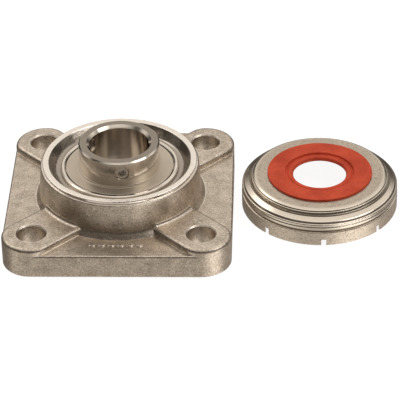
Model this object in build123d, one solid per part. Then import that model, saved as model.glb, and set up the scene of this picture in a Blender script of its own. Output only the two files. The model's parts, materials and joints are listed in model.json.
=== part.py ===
from build123d import *

import math
import os

# Driving dimensions, in millimetres and degrees.
# The origin is the centre of the flange's back face, and the shaft's axis is Z.

# Flange
FLANGE_SIDE = 95.0
BOLT_SPACING = 70.0
BOLT_HOLE = 12.0
BOLT_MOUTH = 0.5
WEB_HEIGHT = 10.3
WEB_EDGE = 0.8
PAD_HEIGHT = 13.3
PAD_WIDTH = 23.0
PAD_END = 8.5
PAD_EDGE = 1.7
BACK_EDGE = 0.5
PIP_COUNT = 6
PIP_DIAMETER = 2.8
PIP_HEIGHT = 0.6
PIP_PITCH = 3.9
PIP_INSET = 8.3

# Rings of the insert
SPHERE_DIAMETER = 52.0
OUTER_WIDTH = 17.0
BORE = 25.0
INNER_DIAMETER = 34.0
SHORT_END = 14.3
LONG_END = 19.8
RING_CHAMFER = 0.6
BORE_CHAMFER = 1.2
FACE_CHAMFER = 0.35

# Collar and its recess
CENTRE_HEIGHT = 16.0
COLLAR_HEIGHT = 27.0
COLLAR_WALL = 7.3
COLLAR_DRAUGHT = 0.9
COLLAR_FLARE = 1.6
COLLAR_FLARE_ROUND = 2.5
PAD_FLARE = 1.5
REGISTER_WALL = 6.45
REGISTER_HEIGHT = 1.2
REGISTER_CORNER = 0.1
SHOULDER_EDGE = 0.7
RIM_WIDTH = 2.55
RIM_OUTER_EDGE = 0.3
RIM_INNER_EDGE = 0.3
RECESS_DEPTH = 4.0
RECESS_TAPER = 2.9
RECESS_CORNER = 1.4
BACK_BORE_WALL = 1.0
BACK_BORE_DEPTH = 8.6
BACK_MOUTH = 1.5
LOADING_CLEARANCE = 0.2
SEAT_CLEARANCE = 0.03

# Balls and cage
BALL_COUNT = 9
BALL_DIAMETER = 7.938
PITCH_DIAMETER = 39.0
RACE_RATIO = 0.52
RACE_DEPTH = 1.6
RACE_CLEARANCE = 0.01
POCKET_CLEARANCE = 0.12
CAGE_SHEET = 0.7
CAGE_WIDTH = 3.2
RIVET_DIAMETER = 1.2
RIVET_HEAD = 2.2
RIVET_HEAD_HEIGHT = 0.4

# Seals and slingers
SEAL_CAGE_CLEARANCE = 0.76
SEAL_PLATE_SHEET = 0.5
SEAL_GROOVE_DEPTH = 0.45
SEAL_BORE = 46.2
LIP_WIDTH = 1.5
LIP_CLEARANCE = 0.05
LIP_EDGE = 0.4
SLINGER_CLEARANCE = 0.5
SLINGER_INSET = 0.3
SLINGER_SHEET = 0.6
SLINGER_SLEEVE = 0.6
SLINGER_BEND = 0.4
SLINGER_EDGE = 0.2

# Set screws
SCREW_DIAMETER = 6.0
SCREW_TIP_GAP = 0.45
SCREW_SINK = 0.35
SCREW_END_DISTANCE = 5.0
SCREW_SOCKET = 3.0
SCREW_SOCKET_DEPTH = 2.2
SCREW_CHAMFER = 0.45
SCREW_TIP_CHAMFER = 0.72
SCREW_CLEARANCE = 0.03
SCREW_ANGLES = (-83.0, 157.0)

# Anti-rotation pin
PIN_DIAMETER = 2.5
PIN_BURIED = 1.5
PIN_PROUD = 1.5
PIN_CHAMFER = 0.25
PIN_CLEARANCE = 0.04
PIN_END_CLEARANCE = 0.3
PIN_SWING_CLEARANCE = 0.44
ALIGNMENT = 2.0

# Lubrication
LUBE_OFFSET = 4.4
LUBE_GROOVE_WIDTH = 2.4
LUBE_GROOVE_DEPTH = 0.75
LUBE_HOLE = 1.5
LUBE_ANGLES = (60.0, 240.0)
NIPPLE_HEIGHT = 16.5
NIPPLE_THREAD = 6.0
NIPPLE_THREAD_LENGTH = 5.0
NIPPLE_HOLE_SPARE = 0.6
NIPPLE_HEX = 7.0
NIPPLE_HEX_HEIGHT = 3.0
NIPPLE_HEX_BEVEL = 3.0
NIPPLE_NECK = 4.6
NIPPLE_HEAD = 6.4
NIPPLE_HEAD_TAPER = 1.2
NIPPLE_HEAD_LOW = 4.8
NIPPLE_HEAD_WIDE = 5.6
NIPPLE_HEAD_HIGH = 6.2
NIPPLE_TOTAL = 8.0
NIPPLE_SEAT = 6.4
NIPPLE_BORE = 2.4
NIPPLE_MOUTH = 1.5
CHECK_BALL = 2.0
CHECK_BALL_CLEARANCE = 0.02
SPRING_WIRE = 0.28
SPRING_TURNS = 5
SPRING_CLEARANCE = 0.1
BOSS_DIAMETER = 9.4
BOSS_PROUD = 1.9
PASSAGE_DIAMETER = 2.4

# Cover, lying beside the bearing
COVER_GAP = 3.6
COVER_Y = 9.0
COVER_CLEARANCE = 0.05
COVER_SHEET = 0.6
COVER_RISE = 8.4
SKIRT_HEIGHT = 6.1
SKIRT_ROUND = 0.35
SKIRT_INNER_ROUND = 0.2
SKIRT_THICKENING = 0.4
NOTCH_COUNT = 8
NOTCH_WIDTH = 2.1
NOTCH_HEIGHT = 2.7
NOTCH_ANGLE = 2.5

# The cover's steps above its skirt, outside and inside: each corner's distance in from
# the skirt's outside, its height above the skirt, and its round
COVER_STEPS = (
    (0.75, 0.35, 0.1),
    (0.75, 0.8, 0.1),
    (0.1, 1.15, 0.5),
    (0.1, 2.45, 0.4),
    (0.35, 2.6, 0.1),
    (0.15, 2.8, 0.2),
    (0.15, 3.9, 0.5),
    (0.95, 4.1, 0.1),
    (0.95, 4.5, 0.1),
    (1.3, 4.85, 0.3),
    (3.3, 6.0, 0.6),
    (3.75, 6.0, 0.1),
    (3.85, 6.5, 0.2),
    (4.15, 7.3, 0.3),
    (4.5, 7.4, 0.1),
    (4.7, 7.85, 0.3),
    (5.6, COVER_RISE, 0.9),
)
COVER_HOLLOW = (
    (5.9, COVER_RISE - COVER_SHEET, 0.6),
    (5.2, 5.5, 0.6),
    (3.6, 5.3, 0.5),
    (1.5, 3.5, 0.6),
    (1.5, 0.1, 0.3),
    (COVER_SHEET, -SKIRT_THICKENING, SKIRT_INNER_ROUND),
)

# Cover's seal
COVER_SHAFT_CLEARANCE = 3.5
SEAL_RIM = 6.2
SEAL_THICKNESS = 0.85
SEAL_STEP = 1.7
SEAL_SQUEEZE = 1.3
SEAL_GRIP = 2.0
SEAL_GRIP_THICKNESS = 0.8
SEAL_GROOVE = 1.0
SEAL_GROOVE_WIDTH = 0.6
SEAL_BEAD = 0.5
SEAL_LIP_DROP = 1.6
SEAL_LIP_THICKNESS = 0.85
SEAL_ROUND = 0.3

# Lengths worked out from those above
CORNER_RADIUS = (FLANGE_SIDE - BOLT_SPACING) / 2
BALL_RADIUS = BALL_DIAMETER / 2
PITCH_RADIUS = PITCH_DIAMETER / 2
RACE_RADIUS = BALL_DIAMETER * RACE_RATIO
HALF_WIDTH = OUTER_WIDTH / 2
SPHERE_RADIUS = SPHERE_DIAMETER / 2
SEAT_RADIUS = SPHERE_RADIUS + SEAT_CLEARANCE
BORE_RADIUS = BORE / 2
INNER_RADIUS = INNER_DIAMETER / 2
SHOULDER_RADIUS = SPHERE_RADIUS + COLLAR_WALL
WAIST_RADIUS = SHOULDER_RADIUS + COLLAR_DRAUGHT
REGISTER_RADIUS = SPHERE_RADIUS + REGISTER_WALL
BOSS_FACE = SHOULDER_RADIUS + BOSS_PROUD
BACK_BORE_RADIUS = SPHERE_RADIUS + BACK_BORE_WALL
POCKET_RADIUS = BALL_RADIUS + POCKET_CLEARANCE
SEAL_BORE_RADIUS = SEAL_BORE / 2
SEAL_PLATE_OUTER = SEAL_BORE_RADIUS + SEAL_GROOVE_DEPTH
SEAL_PLATE_INNER = INNER_RADIUS + LIP_WIDTH
SEAL_PLATE_LOW = POCKET_RADIUS + CAGE_SHEET + SEAL_CAGE_CLEARANCE
SEAL_PLATE_HIGH = SEAL_PLATE_LOW + SEAL_PLATE_SHEET
SLINGER_TOP = HALF_WIDTH - SLINGER_INSET
SCREW_HEIGHT = LONG_END - SCREW_END_DISTANCE
SCREW_TIP = BORE_RADIUS + SCREW_TIP_GAP
SCREW_HEAD = INNER_RADIUS - SCREW_SINK
SKIRT_INNER = REGISTER_RADIUS + COVER_CLEARANCE
SKIRT_OUTER = SKIRT_INNER + COVER_SHEET
COVER_X = FLANGE_SIDE / 2 + COVER_GAP + SKIRT_OUTER
COVER_OPENING = BORE_RADIUS + COVER_SHAFT_CLEARANCE
COVER_HEIGHT = SKIRT_HEIGHT + COVER_RISE
FAR = 200.0
CENTRE = Pos(0, 0, CENTRE_HEIGHT)


def ring(points, rounds=0.0):
    """Turn a section round Z; its points are (radius, height), its corners rounded."""
    outline = FilletPolyline(*points, radius=rounds, close=True)
    return revolve(Plane.XZ * make_face(outline), Axis.Z)


def upright(radius, bottom, top):
    """A cylinder on the Z axis between two heights."""
    standing = (Align.CENTER, Align.CENTER, Align.MIN)
    return Pos(0, 0, bottom) * Cylinder(radius, top - bottom, align=standing)


def radial(angle, height=0.0):
    """A frame on the Z axis whose own Z axis points outwards at an angle."""
    return Pos(0, 0, height) * Rot(0, 0, angle) * Rot(0, 90, 0)


def spoke(radius, start, end, angle, height=0.0):
    """A cylinder that points outwards at an angle, between two distances from the Z axis."""
    return radial(angle, height) * upright(radius, start, end)


def mirrored(solid):
    """The same piece on the back half of the bearing."""
    return mirror(solid, Plane.XY)


# Housing


def pad_plan():
    """The two crossing diagonal strips, cut to the flange's outline and rounded where they meet it."""
    outline = RectangleRounded(FLANGE_SIDE, FLANGE_SIDE, CORNER_RADIUS)
    strip = Rectangle(FLANGE_SIDE * 2, PAD_WIDTH)
    cross = outline & (Rot(0, 0, 45) * strip + Rot(0, 0, -45) * strip)
    middle = FLANGE_SIDE / 2 - CORNER_RADIUS
    return fillet([v for v in cross.vertices() if strip_meets_side(v, middle)], PAD_END)


def strip_meets_side(vertex, middle):
    """Whether a corner of the strips lies on a straight side of the flange."""
    low, high = sorted((abs(vertex.X), abs(vertex.Y)))
    return high > middle and low < middle - PAD_END / FAR


def flange():
    """The square plate with its raised diagonal pads."""
    web = extrude(RectangleRounded(FLANGE_SIDE, FLANGE_SIDE, CORNER_RADIUS), WEB_HEIGHT)
    web = fillet(web.edges().group_by(Axis.Z)[-1], WEB_EDGE)
    pads = extrude(pad_plan(), PAD_HEIGHT)
    pads = fillet(pads.edges().group_by(Axis.Z)[-1], PAD_EDGE)
    plate = web + pads
    return fillet(plate.edges().group_by(Axis.Z)[0], BACK_EDGE)


def collar():
    """The round collar: foot, draught, register, rim and the recess inside the rim."""
    step = COLLAR_HEIGHT - REGISTER_HEIGHT
    ledge = COLLAR_HEIGHT - RECESS_DEPTH
    rim_bore = REGISTER_RADIUS - RIM_WIDTH
    foot = WAIST_RADIUS + COLLAR_FLARE
    points = [
        (0, BACK_EDGE),
        (foot, BACK_EDGE),
        (foot, WEB_HEIGHT),
        (WAIST_RADIUS, WEB_HEIGHT + COLLAR_FLARE_ROUND),
        (SHOULDER_RADIUS, step),
        (REGISTER_RADIUS, step),
        (REGISTER_RADIUS, COLLAR_HEIGHT),
        (rim_bore, COLLAR_HEIGHT),
        (rim_bore - RECESS_TAPER, ledge),
        (0, ledge),
    ]
    foot_rounds = [0, 0, 0, COLLAR_FLARE_ROUND]
    rim_rounds = [SHOULDER_EDGE, REGISTER_CORNER, RIM_OUTER_EDGE, RIM_INNER_EDGE, RECESS_CORNER, 0]
    return ring(points, foot_rounds + rim_rounds)


def pad_flare():
    """The hollow round where the collar rises from the pads."""
    reach = WAIST_RADIUS + PAD_FLARE
    top = PAD_HEIGHT + PAD_FLARE
    points = [
        (0, WEB_HEIGHT),
        (reach, WEB_HEIGHT),
        (reach, PAD_HEIGHT),
        (WAIST_RADIUS, PAD_HEIGHT),
        (WAIST_RADIUS, top),
        (0, top),
    ]
    flare = ring(points, [0, 0, 0, PAD_FLARE * 0.98, 0, 0])
    return flare & extrude(offset(pad_plan(), -PAD_EDGE), FAR)


def back_opening():
    """The bore behind the seat, and the two slots that the insert is loaded through."""
    bore = upright(BACK_BORE_RADIUS, -1, BACK_BORE_DEPTH)
    mouth = ring([
        (0, -1),
        (BACK_BORE_RADIUS + BACK_MOUTH, -1),
        (BACK_BORE_RADIUS + BACK_MOUTH, 0),
        (BACK_BORE_RADIUS, BACK_MOUTH),
        (0, BACK_MOUTH),
    ])
    standing = (Align.CENTER, Align.CENTER, Align.MIN)
    slot = Box(FAR, OUTER_WIDTH + 2 * LOADING_CLEARANCE, CENTRE_HEIGHT + 1, align=standing)
    way = upright(SEAT_RADIUS + LOADING_CLEARANCE, -1, CENTRE_HEIGHT)
    return bore + mouth + (way & (Pos(0, 0, -1) * slot))


def pin_slot():
    """The upright slot in the seat that the anti-rotation pin swings in."""
    width = PIN_DIAMETER + 2 * PIN_CLEARANCE
    reach = SPHERE_RADIUS + PIN_PROUD + PIN_END_CLEARANCE
    swing = (SPHERE_RADIUS + PIN_PROUD) * math.sin(math.radians(ALIGNMENT)) + PIN_SWING_CLEARANCE
    top = CENTRE_HEIGHT + PIN_DIAMETER / 2 + swing
    slot = Pos(0, -reach / 2, top / 2) * Box(width, reach, top)
    end = Pos(0, -reach / 2, top) * Rot(90, 0, 0) * Cylinder(width / 2, reach)
    return slot + end


def lubrication_cuts():
    """The groove round the seat, the nipple's hole and the drilling that joins them."""
    middle = CENTRE_HEIGHT + LUBE_OFFSET
    seat = math.sqrt(SEAT_RADIUS**2 - LUBE_OFFSET**2)
    half = LUBE_GROOVE_WIDTH / 2
    groove = upright(seat + LUBE_GROOVE_DEPTH, middle - half, middle + half)
    end = BOSS_FACE - NIPPLE_THREAD_LENGTH - NIPPLE_HOLE_SPARE
    hole = spoke(NIPPLE_THREAD / 2, end, FAR / 2, 90, NIPPLE_HEIGHT)
    start = Vector(0, end + 1, NIPPLE_HEIGHT)
    path = Vector(0, seat - 1, middle) - start
    drill = Plane(start, x_dir=(1, 0, 0), z_dir=path) * upright(PASSAGE_DIAMETER / 2, 0, path.length)
    return groove + hole + drill


def bolt_holes():
    """The four bolt holes with eased mouths."""
    hole = upright(BOLT_HOLE / 2, -1, FAR / 2)
    mouth = ring([
        (0, PAD_HEIGHT - BOLT_MOUTH),
        (BOLT_HOLE / 2, PAD_HEIGHT - BOLT_MOUTH),
        (BOLT_HOLE / 2 + BOLT_MOUTH + 1, PAD_HEIGHT + 1),
        (0, PAD_HEIGHT + 1),
    ])
    return GridLocations(BOLT_SPACING, BOLT_SPACING, 2, 2) * (hole + mouth)


def casting_pips():
    """A row of low round pips on the front recess of the flange."""
    pip = upright(PIP_DIAMETER / 2, WEB_HEIGHT - 1, WEB_HEIGHT + PIP_HEIGHT)
    pip = fillet(pip.edges().group_by(Axis.Z)[-1], PIP_HEIGHT / 2)
    row = GridLocations(PIP_PITCH, 1, PIP_COUNT, 1)
    return [Pos(0, PIP_INSET - FLANGE_SIDE / 2, 0) * place * pip for place in row]


def housing():
    """The cast flange housing."""
    body = flange() + collar() + pad_flare()
    body += spoke(BOSS_DIAMETER / 2, 0, BOSS_FACE, 90, NIPPLE_HEIGHT)
    body += casting_pips()
    body -= CENTRE * Sphere(SEAT_RADIUS)
    body -= back_opening()
    body -= pin_slot()
    body -= lubrication_cuts()
    for hole in bolt_holes():
        body -= hole
    return body


# Insert: its pieces are made round the bearing's centre and then lifted to it


def outer_ring():
    """The outer ring: spherical outside, race, seal grooves, pin hole and lubrication holes."""
    land = PITCH_RADIUS + BALL_RADIUS - RACE_DEPTH
    body = Sphere(SPHERE_RADIUS) & upright(FAR, -HALF_WIDTH, HALF_WIDTH)
    body = chamfer(body.edges().filter_by(GeomType.CIRCLE), FACE_CHAMFER)
    body -= upright(land, -FAR, FAR)
    body -= Torus(PITCH_RADIUS + BALL_RADIUS + RACE_CLEARANCE - RACE_RADIUS, RACE_RADIUS)
    seal_seat = ring([
        (0, SEAL_PLATE_LOW),
        (SEAL_PLATE_OUTER, SEAL_PLATE_LOW),
        (SEAL_PLATE_OUTER, SEAL_PLATE_HIGH),
        (SEAL_BORE_RADIUS, SEAL_PLATE_HIGH + SEAL_PLATE_SHEET),
        (SEAL_BORE_RADIUS, HALF_WIDTH - FACE_CHAMFER),
        (SEAL_BORE_RADIUS + FACE_CHAMFER * 2, HALF_WIDTH + FACE_CHAMFER),
        (0, HALF_WIDTH + FACE_CHAMFER),
    ])
    body -= seal_seat
    body -= mirrored(seal_seat)
    body -= spoke(PIN_DIAMETER / 2, SPHERE_RADIUS - PIN_BURIED, FAR, -90)
    for angle in LUBE_ANGLES:
        body -= spoke(LUBE_HOLE / 2, PITCH_RADIUS, FAR, angle, LUBE_OFFSET)
    return body


def inner_ring():
    """The wide inner ring: bore, race and the two tapped holes."""
    body = ring([
        (BORE_RADIUS, -SHORT_END + BORE_CHAMFER),
        (BORE_RADIUS + BORE_CHAMFER, -SHORT_END),
        (INNER_RADIUS - RING_CHAMFER, -SHORT_END),
        (INNER_RADIUS, -SHORT_END + RING_CHAMFER),
        (INNER_RADIUS, LONG_END - RING_CHAMFER),
        (INNER_RADIUS - RING_CHAMFER, LONG_END),
        (BORE_RADIUS + BORE_CHAMFER, LONG_END),
        (BORE_RADIUS, LONG_END - BORE_CHAMFER),
    ])
    body -= Torus(PITCH_RADIUS - BALL_RADIUS - RACE_CLEARANCE + RACE_RADIUS, RACE_RADIUS)
    for angle in SCREW_ANGLES:
        body -= spoke(SCREW_DIAMETER / 2 + SCREW_CLEARANCE, 0, FAR, angle, SCREW_HEIGHT)
    return body


def ball_angles():
    """The balls' places round the bearing, in degrees."""
    return [index * 360 / BALL_COUNT for index in range(BALL_COUNT)]


def ball(angle):
    """One ball."""
    return Rot(0, 0, angle) * Pos(PITCH_RADIUS, 0, 0) * Sphere(BALL_RADIUS)


def cage_half():
    """The front half of the pressed cage: a flat ring with a domed pocket over each ball."""
    inside = PITCH_RADIUS - CAGE_WIDTH / 2
    outside = PITCH_RADIUS + CAGE_WIDTH / 2
    band = upright(outside, 0, FAR) - upright(inside, -1, FAR + 1)
    body = upright(outside, 0, CAGE_SHEET) - upright(inside, -1, CAGE_SHEET + 1)
    for angle in ball_angles():
        place = Rot(0, 0, angle) * Pos(PITCH_RADIUS, 0, 0)
        body += band & (place * Sphere(POCKET_RADIUS + CAGE_SHEET))
    for angle in ball_angles():
        body -= Rot(0, 0, angle) * Pos(PITCH_RADIUS, 0, 0) * Sphere(POCKET_RADIUS)
        body -= rivet_place(angle) * upright(RIVET_DIAMETER / 2, -1, CAGE_SHEET + 1)
    return body


def rivet_place(angle):
    """The place of the rivet that follows the ball at an angle."""
    return Rot(0, 0, angle + 180 / BALL_COUNT) * Pos(PITCH_RADIUS, 0, 0)


def cage_rivets():
    """The rivets that hold the cage's halves together, each with two flat heads."""
    top = CAGE_SHEET + RIVET_HEAD_HEIGHT
    head = upright(RIVET_HEAD / 2, CAGE_SHEET, top)
    head = chamfer(head.edges().group_by(Axis.Z)[-1], RIVET_HEAD_HEIGHT / 2)
    rivet = upright(RIVET_DIAMETER / 2, -top, top) + head + mirrored(head)
    return Compound([rivet_place(angle) * rivet for angle in ball_angles()])


def seal_plate():
    """The front seal's steel plate, held in the outer ring's groove."""
    return upright(SEAL_PLATE_OUTER, SEAL_PLATE_LOW, SEAL_PLATE_HIGH) - upright(SEAL_PLATE_INNER, 0, FAR)


def seal_lip():
    """The front seal's rubber lip, moulded over the inner edge of its plate."""
    inside = INNER_RADIUS + LIP_CLEARANCE
    return ring([
        (inside, SEAL_PLATE_LOW - LIP_EDGE),
        (SEAL_PLATE_INNER + LIP_EDGE, SEAL_PLATE_LOW - LIP_EDGE),
        (SEAL_PLATE_INNER + LIP_EDGE, SEAL_PLATE_LOW),
        (SEAL_PLATE_INNER, SEAL_PLATE_LOW),
        (SEAL_PLATE_INNER, SEAL_PLATE_HIGH),
        (SEAL_PLATE_INNER + LIP_EDGE, SEAL_PLATE_HIGH),
        (SEAL_PLATE_INNER + LIP_EDGE, SEAL_PLATE_HIGH + LIP_EDGE),
        (inside, SEAL_PLATE_HIGH + LIP_EDGE),
        (inside + LIP_EDGE, (SEAL_PLATE_LOW + SEAL_PLATE_HIGH) / 2),
    ])


def slinger():
    """The front slinger: a sleeve on the inner ring with a flat flange over the seal."""
    edge = SEAL_BORE_RADIUS - SLINGER_CLEARANCE
    sleeve = INNER_RADIUS + SLINGER_SHEET
    end = SLINGER_TOP + SLINGER_SLEEVE
    points = [
        (INNER_RADIUS, SLINGER_TOP - SLINGER_SHEET),
        (edge, SLINGER_TOP - SLINGER_SHEET),
        (edge, SLINGER_TOP),
        (sleeve + SLINGER_BEND, SLINGER_TOP),
        (sleeve, SLINGER_TOP + SLINGER_BEND / 4),
        (sleeve, end),
        (INNER_RADIUS, end),
    ]
    return ring(points, [0, 0, SLINGER_EDGE, 0, 0, SLINGER_EDGE, 0])


def set_screw(angle):
    """A socket set screw, its tip just short of the shaft."""
    body = upright(SCREW_DIAMETER / 2, SCREW_TIP, SCREW_HEAD)
    body = chamfer(body.edges().group_by(Axis.Z)[-1], SCREW_CHAMFER)
    body = chamfer(body.edges().group_by(Axis.Z)[0], SCREW_TIP_CHAMFER)
    socket = extrude(RegularPolygon(SCREW_SOCKET / 2, 6, major_radius=False), FAR)
    body -= Pos(0, 0, SCREW_HEAD - SCREW_SOCKET_DEPTH) * socket
    return radial(angle, SCREW_HEIGHT) * body


def anti_rotation_pin():
    """The pin that stops the outer ring from turning in the housing."""
    radius = PIN_DIAMETER / 2 - PIN_CLEARANCE
    start = SPHERE_RADIUS - PIN_BURIED + PIN_CLEARANCE
    body = upright(radius, start, SPHERE_RADIUS + PIN_PROUD)
    body = chamfer(body.edges().group_by(Axis.Z)[-1], PIN_CHAMFER)
    return radial(-90) * body


# Grease nipple: its pieces point along Z from the boss's face and are then laid on +Y


def nipple_frame():
    """The nipple's own frame, on the face of the housing's boss."""
    return radial(90, NIPPLE_HEIGHT) * Pos(0, 0, BOSS_FACE)


def grease_nipple():
    """The nipple's body: thread, hexagon, neck, head and stepped bore."""
    hexagon = extrude(RegularPolygon(NIPPLE_HEX / 2, 6, major_radius=False), NIPPLE_HEX_HEIGHT)
    bevel = ring([
        (0, 0),
        (NIPPLE_HEX / 2 + NIPPLE_HEX_BEVEL, 0),
        (NIPPLE_HEX / 2, NIPPLE_HEX_HEIGHT),
        (0, NIPPLE_HEX_HEIGHT),
    ])
    head = ring([
        (0, 0),
        (NIPPLE_NECK / 2, 0),
        (NIPPLE_NECK / 2, NIPPLE_HEAD_LOW),
        (NIPPLE_HEAD / 2, NIPPLE_HEAD_WIDE),
        (NIPPLE_HEAD / 2, NIPPLE_HEAD_HIGH),
        (NIPPLE_HEAD / 2 - NIPPLE_HEAD_TAPER, NIPPLE_TOTAL),
        (0, NIPPLE_TOTAL),
    ])
    body = (hexagon & bevel) + head + upright(NIPPLE_THREAD / 2, -NIPPLE_THREAD_LENGTH, 0)
    body -= upright(NIPPLE_BORE / 2, -FAR, NIPPLE_SEAT)
    body -= upright(NIPPLE_MOUTH / 2, 0, FAR)
    return nipple_frame() * body


def check_ball_height():
    """Where the check ball's centre lies when it closes the nipple's mouth."""
    rise = math.sqrt((CHECK_BALL / 2) ** 2 - (NIPPLE_MOUTH / 2) ** 2)
    return NIPPLE_SEAT - rise - CHECK_BALL_CLEARANCE


def nipple_ball():
    """The check ball that closes the nipple's mouth from inside."""
    return nipple_frame() * Pos(0, 0, check_ball_height()) * Sphere(CHECK_BALL / 2)


def nipple_spring():
    """The spring behind the check ball."""
    radius = NIPPLE_BORE / 2 - SPRING_WIRE / 2 - SPRING_CLEARANCE
    top = check_ball_height() - CHECK_BALL / 2 - SPRING_WIRE / 2
    bottom = -NIPPLE_THREAD_LENGTH + SPRING_WIRE
    coil = Helix((top - bottom) / SPRING_TURNS, top - bottom, radius)
    start = Plane(coil @ 0, z_dir=coil % 0)
    wire = sweep(start * Circle(SPRING_WIRE / 2), coil)
    return nipple_frame() * Pos(0, 0, bottom) * wire


# Cover: made round its own centre on the ground and then moved to its place


def cover_section():
    """The stepped profile of the cover's sheet, outside and then inside."""
    steps = [(SKIRT_OUTER - inset, SKIRT_HEIGHT + rise, corner) for inset, rise, corner in COVER_STEPS]
    hollow = [(SKIRT_OUTER - inset, SKIRT_HEIGHT + rise, corner) for inset, rise, corner in COVER_HOLLOW]
    return [
        (SKIRT_OUTER, 0, 0),
        (SKIRT_OUTER, SKIRT_HEIGHT, SKIRT_ROUND),
        *steps,
        (COVER_OPENING, COVER_HEIGHT, 0),
        (COVER_OPENING, COVER_HEIGHT - COVER_SHEET, 0),
        *hollow,
        (SKIRT_INNER, 0, 0),
    ]


def cover_shell():
    """The spun cover with notches round the bottom of its skirt."""
    section = cover_section()
    body = ring([(r, z) for r, z, _ in section], [corner for _, _, corner in section])
    notch = Pos(SKIRT_OUTER, 0, 0) * Box(6 * COVER_SHEET, NOTCH_WIDTH, 2 * NOTCH_HEIGHT)
    for index in range(NOTCH_COUNT):
        body -= Rot(0, 0, NOTCH_ANGLE + index * 360 / NOTCH_COUNT) * notch
    return body


def cover_seal():
    """The silicone seal: it grips the edge of the cover's opening and ends in a thinner lip."""
    top = COVER_HEIGHT + SEAL_THICKNESS
    under = COVER_HEIGHT - COVER_SHEET
    step = COVER_OPENING - SEAL_STEP
    bead = step - SEAL_GROOVE_WIDTH
    opening = BORE_RADIUS - SEAL_SQUEEZE
    lip = top - SEAL_LIP_DROP
    grip = COVER_OPENING + SEAL_GRIP
    points = [
        (COVER_OPENING + SEAL_RIM, COVER_HEIGHT),
        (COVER_OPENING + SEAL_RIM, top),
        (step + SEAL_ROUND, top),
        (step, top - SEAL_GROOVE),
        (bead, top - SEAL_GROOVE),
        (bead - SEAL_BEAD, top - SEAL_BEAD),
        (opening + SEAL_BEAD, top - SEAL_BEAD - SEAL_ROUND),
        (opening, lip),
        (opening + SEAL_ROUND, lip - SEAL_LIP_THICKNESS),
        (step + 2 * SEAL_ROUND, under - SEAL_GRIP_THICKNESS - SEAL_ROUND / 2),
        (grip, under - SEAL_GRIP_THICKNESS),
        (grip, under),
        (COVER_OPENING, under),
        (COVER_OPENING, COVER_HEIGHT),
    ]
    small = SEAL_ROUND * 2 / 3
    upper = [0, SEAL_ROUND, SEAL_ROUND, small, small, SEAL_ROUND, SEAL_ROUND, small]
    return ring(points, upper + [small, small, small, 0, 0, 0])


def all_pieces():
    """Every piece in its place, by name."""
    insert = {
        "outer_ring": outer_ring(),
        "inner_ring": inner_ring(),
        "cage_half_front": cage_half(),
        "cage_half_back": mirrored(cage_half()),
        "cage_rivets": cage_rivets(),
        "seal_plate_front": seal_plate(),
        "seal_plate_back": mirrored(seal_plate()),
        "seal_lip_front": seal_lip(),
        "seal_lip_back": mirrored(seal_lip()),
        "slinger_front": slinger(),
        "slinger_back": mirrored(slinger()),
        "anti_rotation_pin": anti_rotation_pin(),
    }
    for index, angle in enumerate(ball_angles(), start=1):
        insert[f"ball_{index}"] = ball(angle)
    for index, angle in enumerate(SCREW_ANGLES, start=1):
        insert[f"set_screw_{index}"] = set_screw(angle)
    cover_place = Pos(COVER_X, COVER_Y, 0)
    pieces = {
        "housing": housing(),
        "grease_nipple": grease_nipple(),
        "nipple_ball": nipple_ball(),
        "nipple_spring": nipple_spring(),
        "cover_shell": cover_place * cover_shell(),
        "cover_seal": cover_place * cover_seal(),
    }
    for name, piece in insert.items():
        pieces[name] = CENTRE * piece
    return pieces


os.makedirs("parts", exist_ok=True)
for name, piece in all_pieces().items():
    export_step(piece, f"parts/{name}.step")
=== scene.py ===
import json
import math

import bpy
from mathutils import Matrix, Vector


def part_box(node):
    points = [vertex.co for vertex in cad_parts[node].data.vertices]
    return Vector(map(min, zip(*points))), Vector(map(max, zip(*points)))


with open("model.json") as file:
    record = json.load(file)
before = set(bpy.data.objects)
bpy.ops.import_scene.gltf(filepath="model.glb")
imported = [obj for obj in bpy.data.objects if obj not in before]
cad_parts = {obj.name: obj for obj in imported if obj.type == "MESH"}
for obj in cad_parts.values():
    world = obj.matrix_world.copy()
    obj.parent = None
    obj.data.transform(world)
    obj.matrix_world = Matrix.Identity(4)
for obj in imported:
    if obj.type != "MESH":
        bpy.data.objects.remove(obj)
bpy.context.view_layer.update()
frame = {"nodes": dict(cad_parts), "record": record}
NODES = frame["nodes"]
MM = 0.001

# Camera: where it stands, in metres, and how it is turned, in degrees
CAMERA_PLACE = Vector((0.0678, -0.8602, 0.5842))
CAMERA_PITCH = 33.867
CAMERA_YAW = -2.287
CAMERA_ROLL = -1.193
CAMERA_LENS = 219.9
CAMERA_SENSOR = 36.0

# Places on the object, in metres: where each finish starts or ends
SHAFT_AXIS = (0.0, 0.0)
RIM_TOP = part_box("housing")[1].z
RIM_INSIDE = 29.7 * MM
REGISTER_OUTSIDE = 32.8 * MM
MACHINED_LOW = 20.25 * MM
INNER_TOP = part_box("inner_ring")[1].z
BORE_WALL = 12.75 * MM
COVER_LOW, COVER_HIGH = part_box("cover_shell")
COVER_CENTRE = (COVER_LOW + COVER_HIGH) / 2
COVER_TOP_RADIUS = 26.95 * MM
COVER_TOP_LOW = COVER_HIGH.z - 0.125 * MM
SKIRT_TOP = COVER_LOW.z + 6.1 * MM

# The cover's grooves: the bottom and top of each, in millimetres above its skirt
COVER_GROOVES = ((0.30, 0.85), (2.52, 2.78), (4.05, 4.60), (5.93, 6.10))

# Softboxes: name, place, what it points at, width and height in metres, power in watts, colour
SOFTBOXES = (
    ("left", (-0.85, 0.45, 1.05), (0.0, 0.0, 0.02), (0.8, 0.5), 1.6, (1.0, 0.985, 0.96)),
    ("right", (1.00, -0.42, 0.95), (0.03, 0.0, 0.02), (0.9, 0.6), 4.5, (1.0, 0.99, 0.97)),
)

# The floor: how far it reaches each way and how far it lies below the object, in metres, and its glow
FLOOR_REACH = 12.0
FLOOR_DROP = 0.2 * MM
FLOOR_GLOW = 0.90

# The range that most of a noise's values lie in
NOISE_LOW = 0.3
NOISE_HIGH = 0.7


# ---------------------------------------------------------------- node helpers


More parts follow.
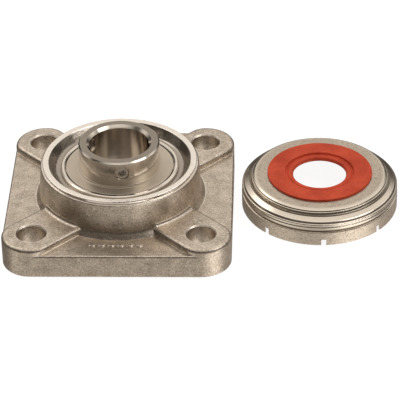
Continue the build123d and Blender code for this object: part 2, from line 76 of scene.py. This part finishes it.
class Tree:
    """A material's or world's node tree, with one short call for each kind of node."""

    def __init__(self, owner):
        owner.use_nodes = True
        self.tree = owner.node_tree
        self.tree.nodes.clear()

    def add(self, kind, settings=None, **inputs):
        """Adds a node; each input is a number, a colour, a vector or another node's output."""
        node = self.tree.nodes.new(kind)
        for key, value in (settings or {}).items():
            setattr(node, key, value)
        for key, value in inputs.items():
            self.put(node, int(key[1:]) if key[0] == "_" else key.replace("_", " "), value)
        return node

    def put(self, node, key, value):
        """Sets or links one input, by name or by number."""
        if isinstance(value, bpy.types.NodeSocket):
            self.tree.links.new(value, node.inputs[key])
        else:
            node.inputs[key].default_value = value

    def math(self, operation, a, b=0.0):
        """One sum on two values."""
        return self.add("ShaderNodeMath", {"operation": operation}, _0=a, _1=b).outputs[0]

    def vector(self, x, y, z):
        """A vector from three values."""
        return self.add("ShaderNodeCombineXYZ", X=x, Y=y, Z=z).outputs[0]

    def noise(self, place, scale, detail=3.0, roughness=0.55):
        """Noise from 0 to 1."""
        node = self.add("ShaderNodeTexNoise", Vector=place, Scale=scale, Detail=detail, Roughness=roughness)
        return node.outputs["Fac"]

    def ramp(self, value, low, high, out_low=0.0, out_high=1.0):
        """Value stretched from one range to another, and held at its ends."""
        sockets = {"Value": value, "From_Min": low, "From_Max": high, "To_Min": out_low, "To_Max": out_high}
        return self.add("ShaderNodeMapRange", {"clamp": True}, **sockets).outputs["Result"]

    def spread(self, noise, out_low, out_high):
        """A noise's usual range stretched between two numbers."""
        return self.ramp(noise, NOISE_LOW, NOISE_HIGH, out_low, out_high)

    def step(self, value, place, soft, low=0.0, high=1.0):
        """One number below a place and another above it, with a soft change between them."""
        return self.ramp(value, place - soft, place + soft, low, high)

    def times(self, a, b):
        """Two values multiplied."""
        return self.math("MULTIPLY", a, b)

    def mix(self, factor, a, b):
        """Two colours mixed."""
        node = self.add("ShaderNodeMix", {"data_type": "RGBA"})
        for key, value in ((0, factor), (6, a), (7, b)):
            self.put(node, key, value)
        return node.outputs[2]

    def blend(self, factor, a, b):
        """Two values mixed."""
        node = self.add("ShaderNodeMix", {"data_type": "FLOAT"})
        for key, value in ((0, factor), (2, a), (3, b)):
            self.put(node, key, value)
        return node.outputs[0]

    def bump(self, height, distance, strength=1.0, normal=None):
        """A normal from a height from 0 to 1 that stands for a distance in metres."""
        node = self.add("ShaderNodeBump", Strength=strength, Distance=distance, Height=height)
        if normal is not None:
            self.put(node, "Normal", normal)
        return node.outputs["Normal"]


def rgb(red, green, blue):
    """A colour socket's value."""
    return (red, green, blue, 1.0)


def start(name, metallic):
    """A new material: its tree, its shader and its surface's place in the frame."""
    material = bpy.data.materials.new(name)
    tree = Tree(material)
    shader = tree.add("ShaderNodeBsdfPrincipled", Metallic=metallic)
    tree.add("ShaderNodeOutputMaterial", Surface=shader.outputs[0])
    place = tree.add("ShaderNodeTexCoord").outputs["Object"]
    return material, tree, shader, place


def edge_wear_and_highlight(tree, radius, low=0.02, high=0.16):
    """From 0 on a flat face to 1 along its sharp edges."""
    soft = tree.add("ShaderNodeBevel", {"samples": 6}, Radius=radius).outputs["Normal"]
    sharp = tree.add("ShaderNodeNewGeometry").outputs["Normal"]
    dot = tree.add("ShaderNodeVectorMath", {"operation": "DOT_PRODUCT"}, _0=soft, _1=sharp)
    bend = tree.math("SUBTRACT", 1.0, dot.outputs["Value"])
    return tree.ramp(bend, low, high)


def turned_place(tree, place, centre):
    """Distance from a turning axis and height along it, both in metres."""
    parts = tree.add("ShaderNodeSeparateXYZ", Vector=place).outputs
    x = tree.math("SUBTRACT", parts["X"], centre[0])
    y = tree.math("SUBTRACT", parts["Y"], centre[1])
    radius = tree.math("SQRT", tree.math("ADD", tree.times(x, x), tree.times(y, y)))
    return radius, parts["Z"]


def turning_marks(tree, radius, height, scale):
    """Fine rings left by a tool, from 0 to 1: they change only along the radius and the height."""
    return tree.noise(tree.vector(radius, height, 0.0), scale, 2.0, 0.7)


# ---------------------------------------------------------------- materials


def cast_housing():
    """Investment-cast stainless, bead-blasted, with a turned register, rim and recess."""
    material, tree, shader, place = start("cast_stainless", 1.0)
    radius, height = turned_place(tree, place, SHAFT_AXIS)
    inside = tree.step(radius, REGISTER_OUTSIDE, 0.05 * MM, 1.0, 0.0)
    machined = tree.times(inside, tree.step(height, MACHINED_LOW, 0.25 * MM))
    within_rim = tree.step(radius, RIM_INSIDE, 0.1 * MM, 1.0, 0.0)
    recess = tree.times(within_rim, tree.step(height, RIM_TOP - 0.3 * MM, 0.1 * MM, 1.0, 0.0))

    # The blasted skin: cloudy brown, with dark specks, bright specks that are painted glints, and rubbed
    # edges lightened partly by painted highlight
    cloud = tree.ramp(tree.noise(place, 190.0, 4.0, 0.65), 0.35, 0.65)
    grain = tree.noise(place, 2200.0, 3.0, 0.7)
    speck = tree.noise(place, 1250.0, 2.0, 0.6)
    painted_glint = tree.noise(place, 1750.0, 2.0, 0.6)
    wear_and_highlight = edge_wear_and_highlight(tree, 1.0 * MM, 0.01, 0.10)
    blasted = tree.mix(cloud, rgb(0.43, 0.365, 0.295), rgb(0.66, 0.57, 0.475))
    blasted = tree.mix(tree.ramp(speck, 0.50, 0.66, 0.0, 0.55), blasted, rgb(0.26, 0.215, 0.17))
    # Painted glints: bright specks in the colour stand in for highlights off the blasted skin
    blasted = tree.mix(tree.ramp(painted_glint, 0.53, 0.66, 0.0, 0.75), blasted, rgb(0.86, 0.80, 0.72))
    # Rubbed edges, partly real wear and partly painted highlight: lighter colour along the edges
    blasted = tree.mix(tree.times(wear_and_highlight, 0.9), blasted, rgb(0.95, 0.90, 0.83))
    rough = tree.spread(grain, 0.32, 0.46)
    rough = tree.math("SUBTRACT", rough, tree.times(wear_and_highlight, 0.12))

    # The turned faces: bright, with fine rings, and darkened by painted shade down in the recess
    marks = turning_marks(tree, radius, height, 3500.0)
    turned = tree.mix(marks, rgb(0.70, 0.64, 0.57), rgb(0.93, 0.87, 0.80))
    # Painted shade: the turned faces darkened down in the recess inside the rim
    turned = tree.mix(tree.times(recess, 0.75), turned, rgb(0.20, 0.165, 0.13))
    smooth = tree.spread(marks, 0.14, 0.26)

    tree.put(shader, "Base Color", tree.mix(machined, blasted, turned))
    tree.put(shader, "Roughness", tree.blend(machined, rough, smooth))
    skin = tree.times(tree.math("SUBTRACT", 1.0, machined), grain)
    normal = tree.bump(skin, 0.045 * MM, 0.9)
    normal = tree.bump(cloud, 0.10 * MM, 0.6, normal)
    normal = tree.bump(tree.times(machined, marks), 0.004 * MM, 0.6, normal)
    tree.put(shader, "Normal", normal)
    return material


def ground_steel():
    """Steel ground round the shaft's axis, with chamfers lightened by painted highlight and a bore and end
    face darkened by painted shade.
    """
    material, tree, shader, place = start("ground_steel", 1.0)
    radius, height = turned_place(tree, place, SHAFT_AXIS)
    marks = turning_marks(tree, radius, height, 5000.0)
    cloud = tree.noise(place, 120.0, 2.0)
    tone = tree.blend(0.5, marks, cloud)
    wear_and_highlight = edge_wear_and_highlight(tree, 0.35 * MM)
    bore = tree.step(radius, BORE_WALL, 0.15 * MM, 0.55, 0.0)
    end_face_shade = tree.step(height, INNER_TOP - 0.045 * MM, 0.015 * MM, 0.0, 0.9)
    colour = tree.mix(tree.ramp(tone, 0.35, 0.65), rgb(0.60, 0.54, 0.47), rgb(0.80, 0.74, 0.67))
    # Painted shade: the bore and the end face darkened
    colour = tree.mix(bore, colour, rgb(0.32, 0.27, 0.22))
    colour = tree.mix(end_face_shade, colour, rgb(0.21, 0.18, 0.145))
    # Painted highlight: chamfers and edges lightened in colour
    tree.put(shader, "Base Color", tree.mix(tree.times(wear_and_highlight, 0.8), colour, rgb(0.95, 0.91, 0.86)))
    tree.put(shader, "Roughness", tree.spread(tone, 0.11, 0.18))
    tree.put(shader, "Normal", tree.bump(marks, 0.003 * MM, 0.5))
    round_axis = tree.add("ShaderNodeTangent", {"direction_type": "RADIAL", "axis": "Z"})
    tree.put(shader, "Tangent", round_axis.outputs[0])
    shader.inputs["Anisotropic"].default_value = 0.75
    shader.inputs["Anisotropic Rotation"].default_value = 0.25
    return material


def matt_steel(name, dark, light, rough):
    """Pressed steel with a dull, finely grained skin."""
    material, tree, shader, place = start(name, 1.0)
    grain = tree.noise(place, 1800.0, 3.0, 0.65)
    cloud = tree.noise(place, 90.0, 2.0)
    wear_and_highlight = edge_wear_and_highlight(tree, 0.25 * MM)
    colour = tree.mix(cloud, rgb(*dark), rgb(*light))
    # Edges lightened in colour: painted highlight, with some rubbed wear
    tree.put(shader, "Base Color", tree.mix(tree.times(wear_and_highlight, 0.6), colour, rgb(0.80, 0.75, 0.68)))
    tree.put(shader, "Roughness", tree.spread(grain, rough[0], rough[1]))
    tree.put(shader, "Normal", tree.bump(grain, 0.012 * MM, 0.6))
    return material


def polished_steel(name):
    """Lapped steel for balls and pins."""
    material, tree, shader, place = start(name, 1.0)
    haze = tree.noise(place, 700.0, 4.0, 0.7)
    tree.put(shader, "Base Color", tree.mix(haze, rgb(0.74, 0.72, 0.69), rgb(0.84, 0.82, 0.79)))
    tree.put(shader, "Roughness", tree.spread(haze, 0.05, 0.13))
    tree.put(shader, "Normal", tree.bump(haze, 0.001 * MM, 0.3))
    return material


def groove_shade(tree, height, colour):
    """The colour darkened by painted shade in the cover's grooves."""
    soft = 0.05 * MM
    for low, high in COVER_GROOVES:
        above_low = tree.step(height, SKIRT_TOP + low * MM - soft, soft)
        below_high = tree.step(height, SKIRT_TOP + high * MM + soft, soft, 0.85, 0.0)
        colour = tree.mix(tree.times(above_low, below_high), colour, rgb(0.09, 0.065, 0.045))
    return colour


def spun_cover():
    """Spun stainless: fine rings, a grained skirt and top, and bright rolls between them."""
    material, tree, shader, place = start("spun_stainless", 1.0)
    radius, height = turned_place(tree, place, COVER_CENTRE)
    skirt = tree.step(height, SKIRT_TOP + 0.15 * MM, 0.05 * MM, 1.0, 0.0)
    within_top = tree.step(radius, COVER_TOP_RADIUS, 0.35 * MM, 1.0, 0.0)
    top = tree.times(tree.step(height, COVER_TOP_LOW, 0.075 * MM), within_top)
    grained = tree.math("MAXIMUM", skirt, top)

    # The grained skirt and top
    grain = tree.noise(place, 1500.0, 3.0, 0.7)
    cloud = tree.noise(place, 70.0, 2.0)
    dull = tree.mix(cloud, rgb(0.50, 0.43, 0.35), rgb(0.62, 0.54, 0.45))
    # Painted light: the skirt painted lighter than the top of the same finish
    dull = tree.mix(tree.times(skirt, 0.45), dull, rgb(0.86, 0.76, 0.65))
    dull = tree.mix(tree.ramp(grain, 0.50, 0.66, 0.0, 0.7), dull, rgb(0.24, 0.20, 0.16))
    rough = tree.spread(grain, 0.36, 0.48)

    # The bright rolls between them
    marks = turning_marks(tree, radius, height, 4200.0)
    shiny = tree.mix(tree.ramp(marks, 0.38, 0.62), rgb(0.48, 0.41, 0.33), rgb(0.86, 0.79, 0.70))
    # Painted shade in the cover's grooves
    shiny = groove_shade(tree, height, shiny)
    smooth = tree.spread(marks, 0.15, 0.27)

    wear_and_highlight = edge_wear_and_highlight(tree, 0.3 * MM)
    colour = tree.mix(grained, shiny, dull)
    # Edges lightened in colour: painted highlight, with some rubbed wear
    tree.put(shader, "Base Color", tree.mix(tree.times(wear_and_highlight, 0.6), colour, rgb(0.92, 0.87, 0.80)))
    tree.put(shader, "Roughness", tree.blend(grained, smooth, rough))
    normal = tree.bump(tree.times(grained, grain), 0.012 * MM, 0.5)
    tree.put(shader, "Normal", tree.bump(marks, 0.003 * MM, 0.5, normal))
    return material


def silicone():
    """Matt orange-red silicone with a fine moulded grain."""
    material, tree, shader, place = start("red_silicone", 0.0)
    grain = tree.noise(place, 1600.0, 3.0, 0.65)
    cloud = tree.noise(place, 110.0, 3.0)
    wear_and_highlight = edge_wear_and_highlight(tree, 0.4 * MM)
    colour = tree.mix(tree.ramp(cloud, 0.35, 0.65), rgb(0.50, 0.052, 0.018), rgb(0.68, 0.085, 0.034))
    colour = tree.mix(tree.ramp(grain, 0.52, 0.70, 0.0, 0.45), colour, rgb(0.38, 0.034, 0.012))
    # Painted highlight: lighter red along the edges
    tree.put(shader, "Base Color", tree.mix(tree.times(wear_and_highlight, 0.5), colour, rgb(0.86, 0.20, 0.11)))
    tree.put(shader, "Roughness", tree.spread(grain, 0.50, 0.66))
    tree.put(shader, "Normal", tree.bump(grain, 0.02 * MM, 0.6))
    shader.inputs["Specular IOR Level"].default_value = 0.22
    return material


def black_rubber():
    """Dull black nitrile rubber."""
    material, tree, shader, place = start("nitrile_rubber", 0.0)
    grain = tree.noise(place, 1500.0, 3.0, 0.6)
    tree.put(shader, "Base Color", tree.mix(grain, rgb(0.015, 0.014, 0.013), rgb(0.035, 0.033, 0.031)))
    tree.put(shader, "Roughness", tree.spread(grain, 0.55, 0.75))
    tree.put(shader, "Normal", tree.bump(grain, 0.015 * MM, 0.5))
    return material


MATERIALS = {
    "cast_stainless": cast_housing(),
    "ground_steel": ground_steel(),
    "ball_steel": polished_steel("ball_steel"),
    "pressed_steel": matt_steel("pressed_steel", (0.48, 0.44, 0.38), (0.60, 0.56, 0.50), (0.30, 0.42)),
    "slinger_steel": matt_steel("slinger_steel", (0.52, 0.455, 0.375), (0.62, 0.55, 0.46), (0.42, 0.54)),
    "screw_steel": matt_steel("screw_steel", (0.82, 0.77, 0.70), (0.92, 0.88, 0.82), (0.24, 0.34)),
    "nipple_steel": matt_steel("nipple_steel", (0.55, 0.50, 0.44), (0.68, 0.63, 0.56), (0.22, 0.34)),
    "spring_steel": polished_steel("spring_steel"),
    "nitrile_rubber": black_rubber(),
    "spun_stainless": spun_cover(),
    "red_silicone": silicone(),
}


def dress_nodes():
    """Gives every CAD node the material of its slot."""
    for part in frame["record"]["subparts"]:
        mesh = NODES[part["node"]].data
        mesh.materials.clear()
        mesh.materials.append(MATERIALS[part["material_slot"]])


dress_nodes()


# ---------------------------------------------------------------- floor, light and camera


def floor():
    """A plain white floor that reaches far past the object, left out of its reflections."""
    mesh = bpy.data.meshes.new("floor")
    signs = ((-1, -1), (1, -1), (1, 1), (-1, 1))
    corners = [(x * FLOOR_REACH, y * FLOOR_REACH, -FLOOR_DROP) for x, y in signs]
    mesh.from_pydata(corners, [], [(0, 1, 2, 3)])
    ground = bpy.data.objects.new("floor", mesh)
    bpy.context.scene.collection.objects.link(ground)
    material, tree, shader, place = start("floor_white", 0.0)
    tone = tree.noise(place, 2.0, 2.0)
    tree.put(shader, "Base Color", tree.mix(tone, rgb(0.20, 0.20, 0.20), rgb(0.22, 0.22, 0.22)))
    tree.put(shader, "Roughness", 0.9)
    shader.inputs["Emission Color"].default_value = rgb(1.0, 1.0, 1.0)
    shader.inputs["Emission Strength"].default_value = FLOOR_GLOW
    mesh.materials.append(material)
    ground.visible_glossy = False
    ground.visible_diffuse = False


def softbox(name, place, target, size, power, colour):
    """A rectangular area light that points at a place on the object."""
    data = bpy.data.lights.new(name, "AREA")
    data.shape = "RECTANGLE"
    data.size, data.size_y = size
    data.energy = power
    data.color = colour
    lamp = bpy.data.objects.new(name, data)
    bpy.context.scene.collection.objects.link(lamp)
    lamp.location = place
    lamp.rotation_euler = (Vector(target) - Vector(place)).to_track_quat("-Z", "Y").to_euler()


def sky():
    """The studio round the object: dark in front and at the horizon, bright behind and above.

    Each ramp goes between two values of one part, X, Y or Z, of the direction looked in.
    """
    world = bpy.data.worlds.new("studio")
    bpy.context.scene.world = world
    tree = Tree(world)
    place = tree.add("ShaderNodeTexCoord").outputs["Generated"]
    parts = tree.add("ShaderNodeSeparateXYZ", Vector=place).outputs
    dark = rgb(0.085, 0.075, 0.065)
    backdrop = tree.mix(tree.ramp(parts["Z"], 0.22, 0.50), dark, rgb(1.05, 1.0, 0.93))
    front = tree.mix(tree.ramp(parts["Z"], 0.72, 0.86), dark, rgb(1.05, 1.00, 0.93))
    above = tree.mix(tree.ramp(parts["Y"], -0.10, 0.30), front, backdrop)

    # The ground: bright to the front right, tan to the front left, dark to the rear left
    near = tree.mix(tree.ramp(parts["X"], 0.10, 0.55), rgb(0.62, 0.58, 0.53), rgb(1.75, 1.66, 1.54))
    near = tree.mix(tree.ramp(parts["X"], -0.75, -0.25), rgb(0.95, 0.90, 0.82), near)
    far = tree.mix(tree.ramp(parts["X"], -0.2, 0.5), rgb(0.28, 0.255, 0.225), rgb(0.50, 0.46, 0.42))
    below = tree.mix(tree.ramp(parts["Y"], -0.30, 0.05), near, far)
    colour = tree.mix(tree.ramp(parts["Z"], -0.30, -0.16), below, above)
    light = tree.add("ShaderNodeBackground", Color=colour, Strength=1.0)
    tree.add("ShaderNodeOutputWorld", Surface=light.outputs[0])


def camera():
    """The camera, pitched down, turned and rolled as the constants say."""
    pitch = math.radians(CAMERA_PITCH)
    yaw = math.radians(CAMERA_YAW)
    ahead = Vector((math.sin(yaw) * math.cos(pitch), math.cos(yaw) * math.cos(pitch), -math.sin(pitch)))
    level = Vector((math.cos(yaw), -math.sin(yaw), 0.0))
    upright = level.cross(ahead)
    roll = math.radians(CAMERA_ROLL)
    right = level * math.cos(roll) + upright * math.sin(roll)
    up = upright * math.cos(roll) - level * math.sin(roll)
    data = bpy.data.cameras.new("camera")
    data.lens = CAMERA_LENS
    data.sensor_width = CAMERA_SENSOR
    data.clip_end = 50.0
    eye = bpy.data.objects.new("camera", data)
    bpy.context.scene.collection.objects.link(eye)
    eye.matrix_world = Matrix.Translation(CAMERA_PLACE) @ Matrix((right, up, -ahead)).transposed().to_4x4()
    bpy.context.scene.camera = eye


floor()
sky()
for lamp in SOFTBOXES:
    softbox(*lamp)
camera()
bpy.context.scene.view_settings.view_transform = "Standard"
